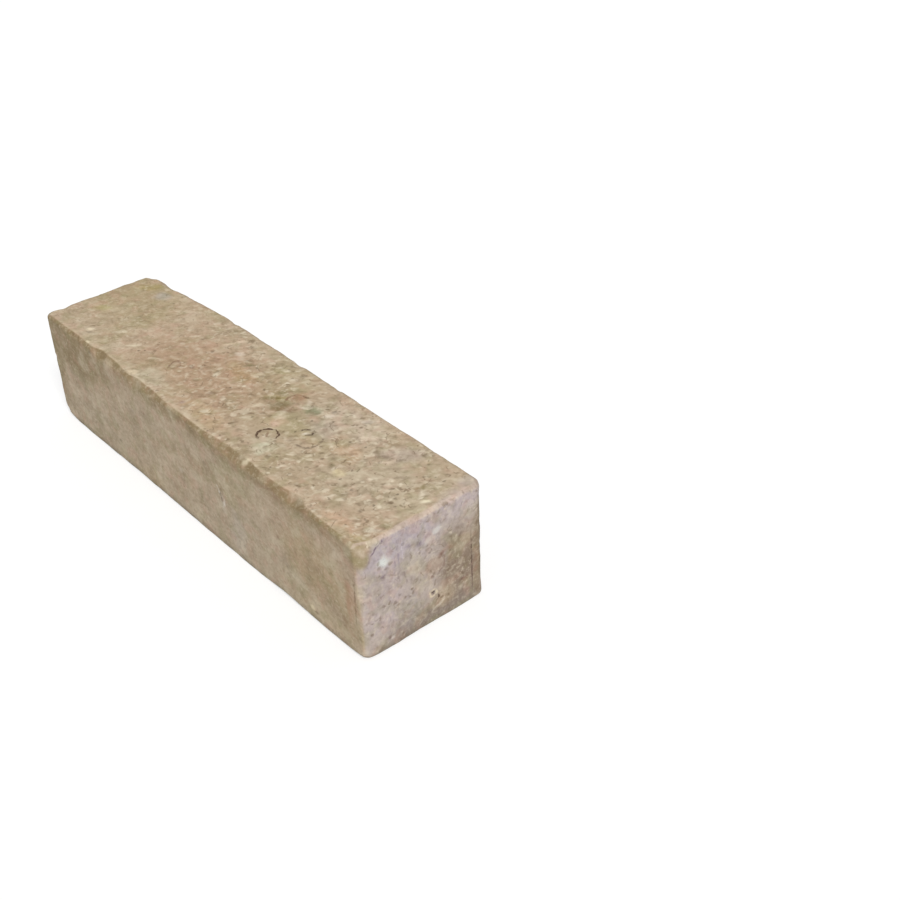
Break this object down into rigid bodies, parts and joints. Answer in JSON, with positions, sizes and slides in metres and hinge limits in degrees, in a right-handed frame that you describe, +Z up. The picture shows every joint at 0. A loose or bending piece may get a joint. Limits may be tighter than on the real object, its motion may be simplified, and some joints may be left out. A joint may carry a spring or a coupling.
{
  "type": "limestone paver",
  "caption": "Long narrow tumbled limestone paver, a sawn stone block with worn rounded arrises, spalled edges and knocked corners.",
  "frame": {"origin": "middle of the bed, the face that the stone lies on", "axes": "+X along the length towards the front end, +Y across the width to the right, +Z up out of the bed"},
  "size_m": [0.4, 0.102, 0.092],
  "materials": {
    "limestone": "sawn and tumbled, matt, open pores and fossil flecks"
  },
  "bodies": {
    "root": {"paver": "limestone"}
  },
  "joints": []
}
